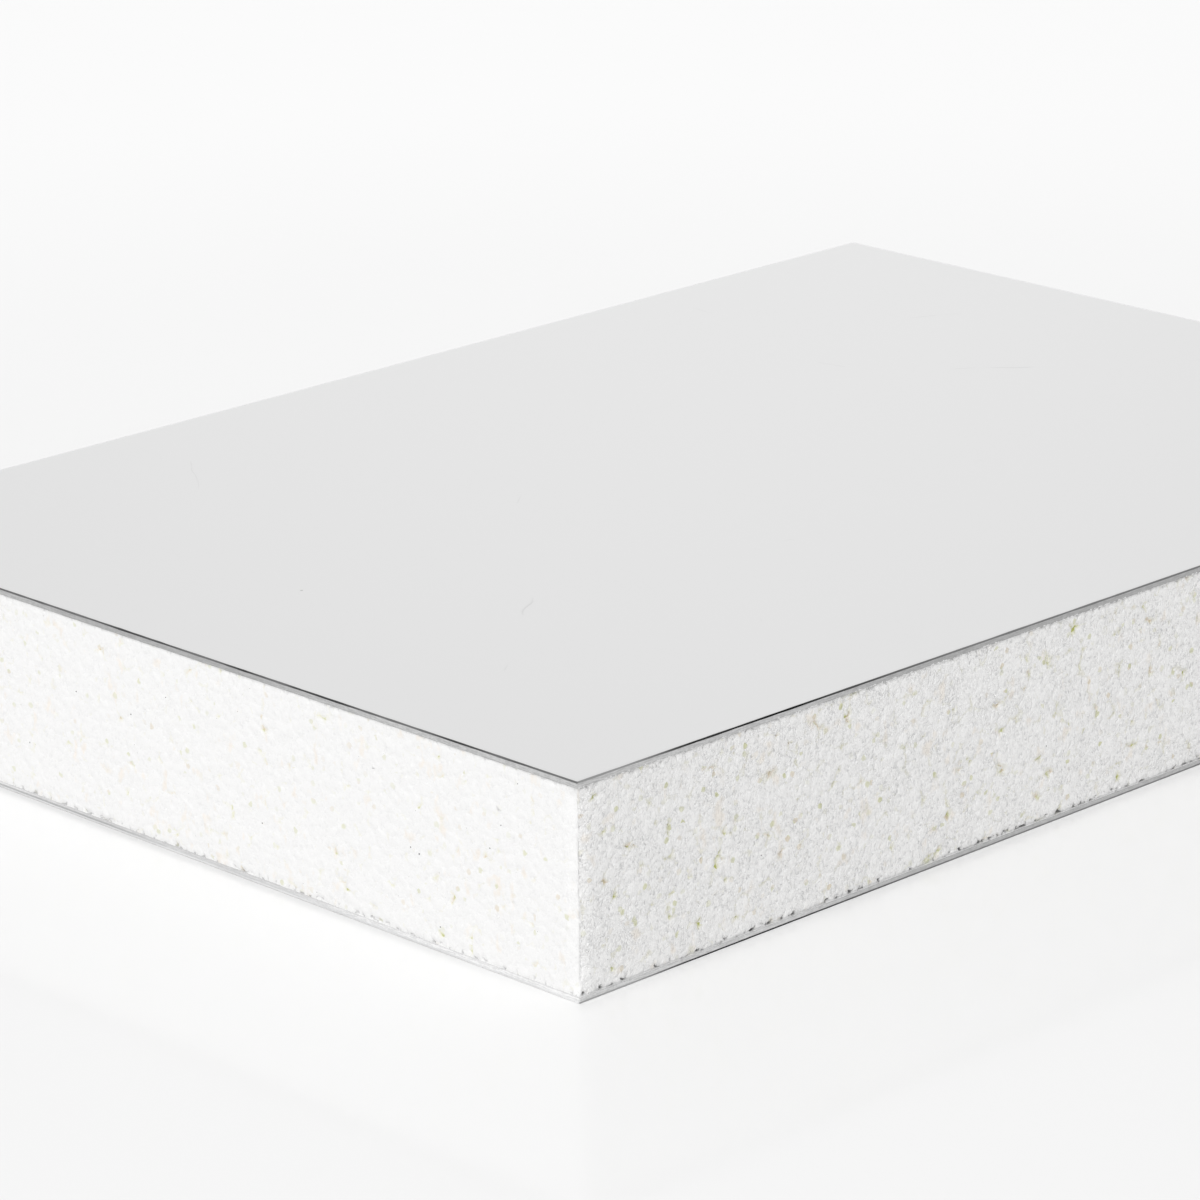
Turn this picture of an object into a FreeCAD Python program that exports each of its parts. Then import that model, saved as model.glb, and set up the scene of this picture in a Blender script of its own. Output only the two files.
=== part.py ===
# Aluminium composite panel: two aluminium sheets bonded to a sawn foam core.
#
# Millimetres, +Z up. The origin is the centre of the panel's underside, +X runs along its
# long side, and the face sheet looks up. The pieces are bonded flat on flat, from the floor:
# back_sheet, foam_core, face_sheet.

import FreeCAD, Part
import Sketcher
import os

PARTS_FOLDER = "parts"
SHEET = "dimensions"

# Driving dimensions: alias, value in millimetres, what it is on the panel.
DRIVING_DIMENSIONS = (
    ("panel_length", 210.0, "long side, sawn edge to sawn edge"),
    ("panel_width", 150.0, "short side, sawn edge to sawn edge"),
    ("face_gauge", 0.8, "thickness of the upper aluminium sheet"),
    ("back_gauge", 0.8, "thickness of the lower aluminium sheet"),
    ("core_thickness", 26.4, "depth of foam between the two sheets"),
    ("face_arris", 0.2, "radius that cutting rolls over on the face sheet's outer rim"),
    ("back_arris", 0.2, "radius that cutting rolls over on the back sheet's outer rim"),
    ("core_corner", 0.5, "radius that the foam's upright corners crumble to"),
)

# A rolled rim takes at most this share of its sheet's thickness.
LARGEST_ARRIS_SHARE = 0.45

# Where each piece starts above the floor, as expressions on the sheet.
BACK_BASE = "0"
CORE_BASE = f"{SHEET}.back_gauge"
FACE_BASE = f"{SHEET}.back_gauge + {SHEET}.core_thickness"

FLAT = 1e-6
LINE_START, LINE_END = 1, 2
SKETCH_ORIGIN = (-1, 1)


def make_dimension_sheet(doc):
    """The spreadsheet that every sketch, pad, fillet and placement reads its size from."""
    sheet = doc.addObject("Spreadsheet::Sheet", SHEET)
    for row, (alias, value, meaning) in enumerate(DRIVING_DIMENSIONS, start=1):
        sheet.set(f"A{row}", alias)
        sheet.set(f"B{row}", str(value))
        sheet.setAlias(f"B{row}", alias)
        sheet.set(f"C{row}", meaning)
    doc.recompute()
    return sheet


def draw_outline(body, sheet):
    """The panel's sawn outline: a rectangle centred on the body's own origin, in its XY plane."""
    sketch = body.newObject("Sketcher::SketchObject", f"{body.Name}_outline")
    plane = next(f for f in body.Origin.OriginFeatures if f.Role == "XY_Plane")
    sketch.AttachmentSupport = [(plane, "")]
    sketch.MapMode = "FlatFace"

    half_length = sheet.panel_length / 2
    half_width = sheet.panel_width / 2
    corners = [
        FreeCAD.Vector(-half_length, -half_width),
        FreeCAD.Vector(half_length, -half_width),
        FreeCAD.Vector(half_length, half_width),
        FreeCAD.Vector(-half_length, half_width),
    ]
    for start, end in zip(corners, corners[1:] + corners[:1]):
        sketch.addGeometry(Part.LineSegment(start, end), False)

    front, right, back, left = range(4)
    for side, after in ((front, right), (right, back), (back, left), (left, front)):
        sketch.addConstraint(Sketcher.Constraint("Coincident", side, LINE_END, after, LINE_START))
    for side in (front, back):
        sketch.addConstraint(Sketcher.Constraint("Horizontal", side))
    for side in (right, left):
        sketch.addConstraint(Sketcher.Constraint("Vertical", side))
    opposite_corners = (front, LINE_START, right, LINE_END)
    sketch.addConstraint(Sketcher.Constraint("Symmetric", *opposite_corners, *SKETCH_ORIGIN))

    for name, kind, side, value in (
        ("length", "DistanceX", front, sheet.panel_length),
        ("width", "DistanceY", right, sheet.panel_width),
    ):
        size = sketch.addConstraint(Sketcher.Constraint(kind, side, LINE_START, side, LINE_END, value))
        sketch.renameConstraint(size, name)
        sketch.setExpression(f"Constraints.{name}", f"{SHEET}.panel_{name}")
    return sketch


def make_layer(doc, sheet, label, thickness, base):
    """One full-size layer of the panel: the outline padded up by a thickness from its base height."""
    body = doc.addObject("PartDesign::Body", label)
    body.Label = label
    body.setExpression("Placement.Base.z", base)
    pad = body.newObject("PartDesign::Pad", f"{label}_thickness")
    pad.Profile = draw_outline(body, sheet)
    pad.setExpression("Length", f"{SHEET}.{thickness}")
    body.Tip = pad
    doc.recompute()
    return body


def round_edges(doc, body, edge_names, radius):
    """Rounds the named edges of the body's last feature to a radius given as an expression."""
    before = body.Tip
    fillet = body.newObject("PartDesign::Fillet", f"{body.Name}_rounding")
    fillet.Base = (before, edge_names)
    fillet.setExpression("Radius", radius)
    before.Visibility = False
    body.Tip = fillet
    doc.recompute()


def rim_of(body, height):
    """Names of the four edges round the flat face that lies at this height of the body's last feature."""
    return [
        f"Edge{number}"
        for number, edge in enumerate(body.Tip.Shape.Edges, start=1)
        if all(abs(vertex.Point.z - height) < FLAT for vertex in edge.Vertexes)
    ]


def upright_edges_of(body):
    """Names of the four corner edges that stand up through the body's last feature."""
    return [
        f"Edge{number}"
        for number, edge in enumerate(body.Tip.Shape.Edges, start=1)
        if abs(edge.Vertexes[0].Point.z - edge.Vertexes[-1].Point.z) > FLAT
    ]


def rolled_rim(arris, gauge):
    """A sheet's rim radius, held within a share of the sheet's own thickness."""
    return f"min({SHEET}.{arris}; {LARGEST_ARRIS_SHARE} * {SHEET}.{gauge})"


def make_back_sheet(doc, sheet):
    """Lower aluminium sheet. Its rolled rim is on the underside, against the floor."""
    body = make_layer(doc, sheet, "back_sheet", "back_gauge", BACK_BASE)
    round_edges(doc, body, rim_of(body, height=0.0), rolled_rim("back_arris", "back_gauge"))
    return body


def make_foam_core(doc, sheet):
    """Foam core, sawn flush with the sheets. Only its four upright corners are worn round."""
    body = make_layer(doc, sheet, "foam_core", "core_thickness", CORE_BASE)
    round_edges(doc, body, upright_edges_of(body), f"{SHEET}.core_corner")
    return body


def make_face_sheet(doc, sheet):
    """Upper aluminium sheet. Its rolled rim is on the visible face."""
    body = make_layer(doc, sheet, "face_sheet", "face_gauge", FACE_BASE)
    round_edges(doc, body, rim_of(body, height=sheet.face_gauge), rolled_rim("face_arris", "face_gauge"))
    return body


def check(doc, bodies):
    """Stops the build if any object failed or any piece isn't one valid solid."""
    for thing in doc.Objects:
        if {"Invalid", "Error"} & set(thing.State):
            raise RuntimeError(f"{thing.Label} failed: {thing.State}")
    for body in bodies:
        shape = body.Shape
        if shape.isNull() or not shape.isValid() or len(shape.Solids) != 1:
            raise RuntimeError(f"{body.Label} isn't one valid solid")


def export(bodies):
    """Writes each piece to its own STEP file, named for the piece."""
    os.makedirs(PARTS_FOLDER, exist_ok=True)
    for body in bodies:
        body.Shape.exportStep(f"{PARTS_FOLDER}/{body.Label}.step")
        box = body.Shape.BoundBox
        print(f"{body.Label}: {body.Shape.Volume:.1f} mm3, z {box.ZMin:.3f} to {box.ZMax:.3f} mm")


def main():
    doc = FreeCAD.newDocument("composite_panel")
    sheet = make_dimension_sheet(doc)
    bodies = [make(doc, sheet) for make in (make_back_sheet, make_foam_core, make_face_sheet)]
    doc.recompute()
    check(doc, bodies)
    export(bodies)


main()
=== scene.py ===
# %% [markdown]
# An aluminium composite panel: two thin aluminium sheets bonded to a thick core of white bead
# foam, sawn to a rectangle.
#
# The three layers come in as plain solids in a fixed frame, in metres, with the panel lying on
# the floor. This lesson keeps that frame. It replaces each plain layer with a detailed one of the
# same size, gives it a procedural finish, and sets the panel in a bright studio.

# %% Load the fixed frame
import math

import bpy
from mathutils import Matrix, Vector


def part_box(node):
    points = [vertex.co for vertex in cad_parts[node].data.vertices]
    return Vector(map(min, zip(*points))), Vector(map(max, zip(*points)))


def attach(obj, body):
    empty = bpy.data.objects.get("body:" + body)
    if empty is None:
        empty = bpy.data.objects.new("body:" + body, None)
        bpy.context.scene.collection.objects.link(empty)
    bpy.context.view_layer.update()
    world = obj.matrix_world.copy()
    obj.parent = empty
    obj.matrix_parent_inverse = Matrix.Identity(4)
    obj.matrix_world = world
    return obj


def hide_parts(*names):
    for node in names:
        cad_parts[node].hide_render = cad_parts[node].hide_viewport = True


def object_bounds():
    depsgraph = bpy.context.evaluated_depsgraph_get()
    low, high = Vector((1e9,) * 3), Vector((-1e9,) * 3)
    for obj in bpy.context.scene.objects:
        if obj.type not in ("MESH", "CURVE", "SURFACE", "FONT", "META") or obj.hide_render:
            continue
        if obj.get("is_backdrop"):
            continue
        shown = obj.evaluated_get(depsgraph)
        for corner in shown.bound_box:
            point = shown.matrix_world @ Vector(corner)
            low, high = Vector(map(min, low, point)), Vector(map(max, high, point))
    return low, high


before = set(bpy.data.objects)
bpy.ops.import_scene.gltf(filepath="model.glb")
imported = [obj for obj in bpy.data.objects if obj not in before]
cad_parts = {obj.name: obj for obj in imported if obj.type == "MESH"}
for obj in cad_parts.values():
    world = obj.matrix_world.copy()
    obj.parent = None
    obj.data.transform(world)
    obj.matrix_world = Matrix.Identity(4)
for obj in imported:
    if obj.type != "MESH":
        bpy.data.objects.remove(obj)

MM = 0.001
scene = bpy.context.scene
cad_low, cad_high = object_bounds()
print("panel in mm:", [round((high - low) / MM, 2) for low, high in zip(cad_low, cad_high)])

# %% [markdown]
# Node trees are easier to read as expressions than as rows of links. A wire stands for one output
# socket, and arithmetic on wires adds the matching node to the tree that the wire belongs to. The
# reflected forms let a plain number stand on the left, as in 1 - mask.

# %% Wrap a socket so that it can be calculated with
class Wire:
    """One output socket, which can be added, subtracted, multiplied and divided."""

    def __init__(self, graph, socket):
        self.graph = graph
        self.socket = socket

    @property
    def is_vector(self):
        return self.socket.type in {"VECTOR", "RGBA"}

    def __add__(self, other):
        return self.graph.maths("ADD", self, other)

    def __radd__(self, other):
        return self.graph.maths("ADD", other, self)

    def __sub__(self, other):
        return self.graph.maths("SUBTRACT", self, other)

    def __rsub__(self, other):
        return self.graph.maths("SUBTRACT", other, self)

    def __mul__(self, other):
        return self.graph.maths("MULTIPLY", self, other)

    def __rmul__(self, other):
        return self.graph.maths("MULTIPLY", other, self)

    def __truediv__(self, other):
        return self.graph.maths("DIVIDE", self, other)

    def __rtruediv__(self, other):
        return self.graph.maths("DIVIDE", other, self)


# %% [markdown]
# A graph is a node tree that is being written. Every node comes from one method, which adds the
# node, sets its settings and then fills its sockets, because settings can change which sockets a
# node has. Numbers go through Math nodes. Vectors and colours go through Vector Math and Mix, as a
# Math node would turn a colour grey. The same class serves materials and Geometry Nodes.

# %% Build node trees
def pick(sockets, key):
    """A socket by its number, or by its name among those that the node's settings leave in use."""
    if isinstance(key, int):
        return sockets[key]
    return next(socket for socket in sockets if socket.name == key and socket.enabled)


class Graph:
    """A node tree that is written with calls and expressions."""

    def __init__(self, tree):
        self.tree = tree
        tree.nodes.clear()

    def node(self, kind, settings=None, inputs=None):
        """Adds a node, sets its settings, then fills or links its sockets."""
        made = self.tree.nodes.new(kind)
        for name, value in (settings or {}).items():
            setattr(made, name, value)
        for key, value in (inputs or {}).items():
            socket = pick(made.inputs, key)
            if isinstance(value, Wire):
                self.tree.links.new(value.socket, socket)
            else:
                socket.default_value = value
        return made

    def wire(self, kind, settings=None, inputs=None, output=0):
        """Adds a node and returns one of its outputs."""
        return Wire(self, pick(self.node(kind, settings, inputs).outputs, output))

    def outputs(self, made, *names):
        """Several outputs of one node."""
        return [Wire(self, pick(made.outputs, name)) for name in names]

    def maths(self, operation, first, second):
        """One Math node for numbers, or one Vector Math node where a vector takes part."""
        sides = (first, second)
        vectors = [
            side.is_vector if isinstance(side, Wire) else isinstance(side, tuple) for side in sides
        ]
        if not any(vectors):
            return self.wire("ShaderNodeMath", {"operation": operation}, {0: first, 1: second})
        if operation == "MULTIPLY" and not all(vectors):
            vector, number = sides if vectors[0] else reversed(sides)
            scaled = {0: vector, "Scale": number}
            return self.wire("ShaderNodeVectorMath", {"operation": "SCALE"}, scaled)
        first, second = (side if vector else (side,) * 3 for side, vector in zip(sides, vectors))
        return self.wire("ShaderNodeVectorMath", {"operation": operation}, {0: first, 1: second})

    def largest(self, first, second):
        """The larger of two numbers, or of each part of two vectors."""
        return self.maths("MAXIMUM", first, second)

    def length(self, vector):
        """How long a vector is."""
        return self.wire("ShaderNodeVectorMath", {"operation": "LENGTH"}, {0: vector}, "Value")

    def absolute(self, vector):
        """The vector with all its parts made positive."""
        return self.wire("ShaderNodeVectorMath", {"operation": "ABSOLUTE"}, {0: vector})

    def part(self, vector, axis):
        """One of a vector's X, Y and Z parts."""
        return self.wire("ShaderNodeSeparateXYZ", None, {"Vector": vector}, axis)

    def smooth(self, value, start, end):
        """Goes smoothly from 0 where the value is at start to 1 where it is at end."""
        ends = {"Value": value, "From Min": start, "From Max": end}
        return self.wire("ShaderNodeMapRange", {"interpolation_type": "SMOOTHSTEP"}, ends)

    def blend(self, factor, first, second):
        """Goes from the first colour to the second as the factor goes from 0 to 1."""
        sides = {"Factor": factor, "A": first, "B": second}
        return self.wire("ShaderNodeMix", {"data_type": "RGBA"}, sides, "Result")

    def noise(self, place, size, detail=2.0, roughness=0.5, output=0):
        """Soft noise whose lumps are about this size, in the units of the place."""
        values = {"Vector": place, "Scale": 1.0 / size, "Detail": detail, "Roughness": roughness}
        return self.wire("ShaderNodeTexNoise", {"noise_dimensions": "3D"}, values, output)


def grey(tone):
    """A neutral colour of this tone."""
    return (tone, tone, tone, 1.0)


# %% [markdown]
# The camera looks at the near corner from about three quarters of a metre and 18 degrees up,
# through a long lens. Its place comes from fitting a pinhole camera to the panel's straight edges
# in the photo. A lens in pixels becomes a lens in millimetres by the ratio of sensor width to
# image width.

# %% Place the camera
IMAGE_SIDE = 1200
SENSOR_WIDTH = 36.0
FOCAL_PIXELS = 5418.9
CAMERA_PLACE = Vector((-521.3, -502.2, 244.7)) * MM
CAMERA_HEADING = math.radians(45.46)
CAMERA_DIP = math.radians(18.04)
CAMERA_ROLL = math.radians(-0.65)
CLIP_START = 0.01

forward = Vector((
    math.cos(CAMERA_DIP) * math.cos(CAMERA_HEADING),
    math.cos(CAMERA_DIP) * math.sin(CAMERA_HEADING),
    -math.sin(CAMERA_DIP),
))
level_right = Vector((math.sin(CAMERA_HEADING), -math.cos(CAMERA_HEADING), 0.0))
level_up = level_right.cross(forward)
right = math.cos(CAMERA_ROLL) * level_right + math.sin(CAMERA_ROLL) * level_up
up = right.cross(forward)

lens = bpy.data.cameras.new("photo_camera")
lens.sensor_width = SENSOR_WIDTH
lens.lens = FOCAL_PIXELS / IMAGE_SIDE * SENSOR_WIDTH
lens.clip_start = CLIP_START
camera = bpy.data.objects.new("photo_camera", lens)
turn = Matrix((right, up, -forward)).transposed().to_4x4()
camera.matrix_world = Matrix.Translation(CAMERA_PLACE) @ turn
scene.collection.objects.link(camera)
scene.camera = camera
print(f"camera with a {lens.lens:.0f} mm lens, {CAMERA_PLACE.length:.2f} m away")

# %% [markdown]
# The panel lies in a bright studio. The world gives an even light from all round. What the camera
# and the metal see of it is a pale backdrop, brightest low down behind the panel. The Light Path
# node keeps the two apart, so the backdrop can be white without adding light to the panel.

# %% Surround the panel with light
EVEN_LIGHT = 0.70
BACKDROP_BRIGHT = 1.0
BACKDROP_DIM = 0.74
BACKDROP_HEADING = math.radians(45)
BACKDROP_RISE = math.radians(8)
BACKDROP_SPREAD = math.radians(19)

scene.view_settings.view_transform = "Standard"
world = bpy.data.worlds.new("studio")
world.use_nodes = True
scene.world = world
sky = Graph(world.node_tree)
direction = sky.wire("ShaderNodeTexCoord", output="Generated")
heart = (
    math.cos(BACKDROP_RISE) * math.cos(BACKDROP_HEADING),
    math.cos(BACKDROP_RISE) * math.sin(BACKDROP_HEADING),
    math.sin(BACKDROP_RISE),
)
towards_heart = sky.wire(
    "ShaderNodeVectorMath", {"operation": "DOT_PRODUCT"}, {0: direction, 1: heart}, "Value")
glow = sky.smooth(towards_heart, math.cos(BACKDROP_SPREAD), 1.0)
backdrop = glow * (BACKDROP_BRIGHT - BACKDROP_DIM) + BACKDROP_DIM
ray = sky.node("ShaderNodeLightPath")
camera_ray, glossy_ray, clear_ray = sky.outputs(
    ray, "Is Camera Ray", "Is Glossy Ray", "Is Transmission Ray")
seen = sky.largest(sky.largest(camera_ray, glossy_ray), clear_ray)
strength = seen * (backdrop - EVEN_LIGHT) + EVEN_LIGHT
background = sky.wire("ShaderNodeBackground", None, {"Color": grey(1.0), "Strength": strength})
sky.node("ShaderNodeOutputWorld", None, {"Surface": background})
print("even light", EVEN_LIGHT, "and backdrop from", BACKDROP_DIM, "to", BACKDROP_BRIGHT)

# %% [markdown]
# One large softbox hangs high on the left. It makes the left side the bright one, and grazes the
# right side, where every crumb of the foam then shows. A wide lamp far away keeps shadows soft
# and lights the whole floor alike. The lamp is hidden from mirror rays, so that the bare face never
# shows it as a patch of pure white from another angle.

# %% Hang the softbox
SOFTBOX_SIDE = 4.4
SOFTBOX_PLACE = Vector((-3.60, -1.60, 4.50))
SOFTBOX_WATTS = 209.0

lamp = bpy.data.lights.new("softbox", "AREA")
lamp.shape = "SQUARE"
lamp.size = SOFTBOX_SIDE
lamp.energy = SOFTBOX_WATTS
softbox = bpy.data.objects.new("softbox", lamp)
softbox.location = SOFTBOX_PLACE
softbox.rotation_euler = (-SOFTBOX_PLACE).to_track_quat("-Z", "Y").to_euler()
softbox.visible_glossy = False
scene.collection.objects.link(softbox)
print(f"softbox hangs {SOFTBOX_PLACE.length:.2f} m from the panel")

# %% [markdown]
# The panel lies on a sheet of white gloss acrylic, which mirrors its edges faintly. A flat plane
# is enough. A low roughness and the usual gloss of plastic give the soft mirror image. The floor's
# colour is painted a little lighter with distance: painted light, standing in for the light over a
# lit sweep of white. Along the foot of the short sides lies a thin line of painted shade, a painted
# contact shadow where the panel doesn't quite touch the acrylic. Along the foot of the long sides
# the colour is painted paler instead: painted light, standing in for light that entered the acrylic
# nearby and comes out there.

# %% Lay the floor
FLOOR_REACH = 4.0
FLOOR_NEAR, FLOOR_FAR = 0.858, 0.915
NEAR_LIMIT, FAR_LIMIT = 0.17, 0.37
PAINTED_FOOT_SHADE = 0.75
PAINTED_FOOT_LIGHT = 1.0
FOOT_REACH = 2.2 * MM
LIGHT_REACH = 0.8 * MM
FULL_SHADE = 0.6
HAZE_SIZE, HAZE_RANGE = 0.09, (0.3, 0.75)
GLOSS_ROUGHNESS, HAZE_ROUGHNESS = 0.09, 0.05
ACRYLIC_IOR = 1.5

corners = [(x * FLOOR_REACH, y * FLOOR_REACH, 0.0) for x, y in ((-1, -1), (1, -1), (1, 1), (-1, 1))]
plane = bpy.data.meshes.new("floor")
plane.from_pydata(corners, [], [(0, 1, 2, 3)])
floor = bpy.data.objects.new("floor", plane)
scene.collection.objects.link(floor)

acrylic = bpy.data.materials.new("white_acrylic")
acrylic.use_nodes = True
gloss = Graph(acrylic.node_tree)
floor_place = gloss.wire("ShaderNodeTexCoord", output="Object")
floor_haze = gloss.smooth(gloss.noise(floor_place, HAZE_SIZE, 3.0), *HAZE_RANGE)
away = gloss.smooth(gloss.length(floor_place), NEAR_LIMIT, FAR_LIMIT)
# Painted light: the floor's colour is lighter away from the panel.
floor_tone = gloss.blend(away, grey(FLOOR_NEAR), grey(FLOOR_FAR))
from_axis = gloss.absolute(floor_place)
along_x, along_y = gloss.part(from_axis, "X"), gloss.part(from_axis, "Y")
# Where the painted contact shade along the short sides' foot and the painted light along the long
# sides' foot fall.
at_short_foot = gloss.smooth(along_x, cad_high[0] + FOOT_REACH, cad_high[0])
between_corners = gloss.smooth(along_y, cad_high[1], cad_high[1] * FULL_SHADE)
at_long_foot = gloss.smooth(along_y, cad_high[1] + LIGHT_REACH, cad_high[1])
beside = gloss.smooth(along_x, cad_high[0], cad_high[0] - LIGHT_REACH)
# Painted light along the foot of the long sides.
floor_tone = gloss.blend(at_long_foot * beside, floor_tone, grey(PAINTED_FOOT_LIGHT))
floor_shader = gloss.wire("ShaderNodeBsdfPrincipled", None, {
    # Painted contact shade along the foot of the short sides.
    "Base Color": gloss.blend(at_short_foot * between_corners, floor_tone, grey(PAINTED_FOOT_SHADE)),
    "Roughness": floor_haze * HAZE_ROUGHNESS + GLOSS_ROUGHNESS,
    "IOR": ACRYLIC_IOR,
})
gloss.node("ShaderNodeOutputMaterial", None, {"Surface": floor_shader})
plane.materials.append(acrylic)
floor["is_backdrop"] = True
print("floor laid,", 2 * FLOOR_REACH, "m wide")

# %% [markdown]
# Bead foam is a crowd of soft balls, a millimetre or two across, swollen until they press flat on
# each other. A saw cuts straight through them. The cut shows smooth pale bead faces, crumbled
# seams between beads, and small hollows where the balls failed to meet.
#
# A Voronoi texture is the same kind of crowd: scattered points, each with the space nearest to it.
# Its distance to the edge of that space finds the seams. Its distance to the nearest point finds
# the hollows, because a ball swells only so far, and a place beyond the reach of every ball stays
# empty. A finer crowd stands for the flakes that the saw breaks off. Each flake shifts the reach by
# its own lot, so that the hollows become compact marks. Beads reach a little further on the short
# sides and near the corners, where the cut is more closed.
#
# The rule is written once, as functions of a place in millimetres, and used twice: the geometry
# sinks the hollows and the material colours them, so that they fall on the same spots.

# %% Write the rule of beads and hollows
BEAD_SPACING, BEAD_REACH = 1.6, 1.41
BEAD_DRIFT_SIZE, BEAD_DRIFT = 1.5, 0.9
FLAKE_SPACING, FLAKE_SPREAD = 0.7, 0.45
FLAKE_DRIFT_SIZE, FLAKE_DRIFT = 0.5, 0.3
SHORT_SIDE_REACH = 0.015
CORNER_REACH, CORNER_RANGE = 0.3, (2.5, 0.8)


def drifted(graph, place, size, amount, detail=1.0):
    """The place, shifted by soft noise so that straight borders become uneven."""
    return place + (graph.noise(place, size, detail, output=1) - 0.5) * amount


def flake_crowd(graph, place):
    """The distance from the nearest flake's middle, and that flake's lot of random numbers."""
    uneven = drifted(graph, place, FLAKE_DRIFT_SIZE, FLAKE_DRIFT)
    crowd = graph.node("ShaderNodeTexVoronoi", {"feature": "F1"},
                       {"Vector": uneven, "Scale": 1.0 / FLAKE_SPACING})
    return graph.outputs(crowd, "Distance", "Color")


def beads(graph, place, is_short, from_corner):
    """Millimetres from the nearest seam, and millimetres past the reach of the nearest bead."""
    at_corner = graph.smooth(from_corner, *CORNER_RANGE)
    reach = is_short * SHORT_SIDE_REACH + at_corner * CORNER_REACH + BEAD_REACH
    uneven = drifted(graph, place, BEAD_DRIFT_SIZE, BEAD_DRIFT, 2.0)
    flake_lot = graph.part(flake_crowd(graph, place)[1], "X")
    reach = reach - (flake_lot - 0.5) * FLAKE_SPREAD
    from_seam, from_middle = (
        graph.wire("ShaderNodeTexVoronoi", {"feature": feature},
                   {"Vector": uneven, "Scale": 1.0 / BEAD_SPACING}, "Distance")
        for feature in ("DISTANCE_TO_EDGE", "F1")
    )
    return from_seam * BEAD_SPACING, from_middle * BEAD_SPACING - reach


core_low, core_high = (Vector(corner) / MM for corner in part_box("foam_core"))
core_size = core_high - core_low
print("about", round(core_size.x * core_size.z / BEAD_SPACING ** 2), "beads on a long side")

# %% [markdown]
# Along the two bonds some beads never filled the mould. That leaves thin gaps that lie along the
# sheets, and upright ticks where a seam between two beads runs into a sheet. The saw tore the long
# sides more than the short ones, so the rule also needs to know which side a place is on, and how
# far it is from the side's nearer corner.

# %% Write the rule of bonds and sides
SIDE_BLEND = 0.3
GAP_SIZE, GAP_SQUASH = 0.85, (1.0, 1.0, 0.6)
GAP_HEIGHT, GAP_FOOT = 0.32, 0.1
LOW_GAP_RANGE, HIGH_GAP_RANGE = (0.61, 0.66), (0.48, 0.62)
TICK_HEIGHT, TICK_FOOT = 0.7, 0.3
TICK_WIDTH, TICK_RANGE = (0.14, 0.04), (0.50, 0.58)
TICK_SHARE = 0.8


def side_place(graph, place):
    """1 on short sides and 0 on long ones, and millimetres from the side's nearer corner."""
    size = graph.absolute(place)
    from_short = core_high.x - graph.part(size, "X")
    from_long = core_high.y - graph.part(size, "Y")
    is_short = graph.smooth(from_long - from_short, -SIDE_BLEND, SIDE_BLEND)
    return is_short, graph.largest(from_short, from_long)


def less_on_short(is_short, share):
    """1 on the long sides, and this share on the short ones."""
    return 1.0 - is_short * (1.0 - share)


def bond_gaps(graph, place, seam):
    """Unfilled gaps along the lower and the upper bond: 1 where the foam is missing."""
    height = graph.part(place, "Z")
    missing = graph.noise(place * GAP_SQUASH, GAP_SIZE, 2.0)
    tick = graph.smooth(seam, *TICK_WIDTH) * graph.smooth(missing, *TICK_RANGE)
    at_low = graph.smooth(height, core_low.z + GAP_HEIGHT, core_low.z + GAP_FOOT)
    low = graph.smooth(missing, *LOW_GAP_RANGE) * at_low
    low_tick = tick * graph.smooth(height, core_low.z + TICK_HEIGHT, core_low.z + TICK_FOOT)
    at_high = graph.smooth(height, core_high.z - GAP_HEIGHT, core_high.z)
    high = graph.smooth(missing, *HIGH_GAP_RANGE) * at_high
    high_tick = tick * graph.smooth(height, core_high.z - TICK_HEIGHT, core_high.z - TICK_FOOT)
    return graph.largest(low, low_tick * TICK_SHARE), graph.largest(high, high_tick * TICK_SHARE)


print("foam from", round(core_low.z, 2), "to", round(core_high.z, 2), "mm above the floor")

# %% [markdown]
# The pieces of the panel follow rules, so Geometry Nodes grow them. A tree is made here with named
# inputs for its sizes and its material, and is run by a modifier on an empty mesh. The inputs are
# set by their identifiers, because that is how a modifier stores them. The evaluated result then
# becomes a plain mesh. A Decimate modifier can thin a mesh that is finer than a finished one may
# be: it merges what is nearly flat and spares the rest.

# %% Run a Geometry Nodes tree
def geometry_tree(name, sizes):
    """A Geometry Nodes tree with inputs for sizes and a material: graph, identifiers and wires."""
    tree = bpy.data.node_groups.new(name, "GeometryNodeTree")
    graph = Graph(tree)
    tree.interface.new_socket("Geometry", in_out="OUTPUT", socket_type="NodeSocketGeometry")
    kinds = {size: "NodeSocketFloat" for size in sizes} | {"Material": "NodeSocketMaterial"}
    sockets = [
        tree.interface.new_socket(label, in_out="INPUT", socket_type=kind)
        for label, kind in kinds.items()
    ]
    entry = graph.node("NodeGroupInput")
    wires = {socket.name: Wire(graph, entry.outputs[socket.name]) for socket in sockets}
    return graph, {socket.name: socket.identifier for socket in sockets}, wires


def grow(name, graph, identifiers, values, thin_to=None):
    """Runs a tree on an empty mesh and returns the result as an object with a plain mesh."""
    grown = bpy.data.objects.new(name, bpy.data.meshes.new(name))
    scene.collection.objects.link(grown)
    nodes = grown.modifiers.new("shape", "NODES")
    nodes.node_group = graph.tree
    for size, value in values.items():
        nodes[identifiers[size]] = value
    depsgraph = bpy.context.evaluated_depsgraph_get()
    if thin_to:
        whole = grown.evaluated_get(depsgraph).to_mesh()
        whole.calc_loop_triangles()
        thin = grown.modifiers.new("thin", "DECIMATE")
        thin.ratio = min(1.0, thin_to / len(whole.loop_triangles))
        depsgraph = bpy.context.evaluated_depsgraph_get()
    mesh = bpy.data.meshes.new_from_object(grown.evaluated_get(depsgraph), depsgraph=depsgraph)
    grown.modifiers.clear()
    grown.data = mesh
    mesh.name = name
    mesh.calc_loop_triangles()
    print(f"{name}: {len(mesh.vertices)} points, {len(mesh.loop_triangles)} triangles")
    return grown


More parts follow.
